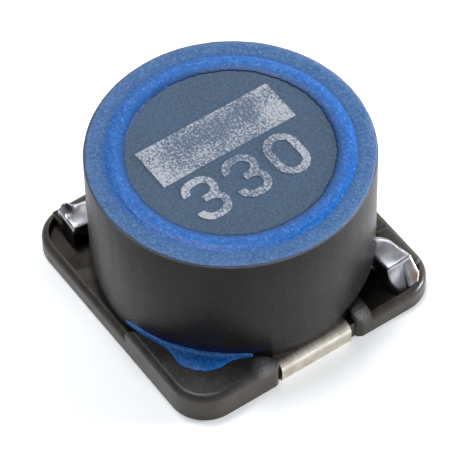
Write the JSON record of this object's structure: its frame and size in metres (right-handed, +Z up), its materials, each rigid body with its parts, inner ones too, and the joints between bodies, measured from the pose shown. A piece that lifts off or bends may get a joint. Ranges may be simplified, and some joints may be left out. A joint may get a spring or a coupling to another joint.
{
  "type": "shielded SMD power inductor",
  "caption": "Flat square surface-mount power inductor: a ferrite drum core and wire coil inside a round shield ring, on a moulded base with folded solder terminals.",
  "frame": {"origin": "centre of the footprint, on the board surface the solder pads rest on", "axes": "+Z up from the board, +X towards the first solder terminal, +Y along the side without a terminal; the printed figures read along +Y"},
  "size_m": [0.0126, 0.0126, 0.0076],
  "materials": {
    "base": "moulded thermoset, matt, dark grey",
    "terminal": "tin plated copper strip, satin",
    "core": "ground nickel zinc ferrite, coated, slate blue",
    "shield": "fired nickel zinc ferrite, matt, near black",
    "wire": "enamelled copper",
    "epoxy": "cured blue epoxy",
    "solder": "dipped solder, satin",
    "ink": "printed pale grey ink"
  },
  "bodies": {
    "root": {"base": "base", "terminal_1": "terminal", "terminal_2": "terminal", "drum_core": "core", "shield_ring": "shield", "winding": "wire", "core_bond": "epoxy", "ring_bond_1": "epoxy", "ring_bond_2": "epoxy", "top_epoxy": "epoxy", "solder_1": "solder", "solder_2": "solder", "marking": "ink"}
  },
  "joints": []
}
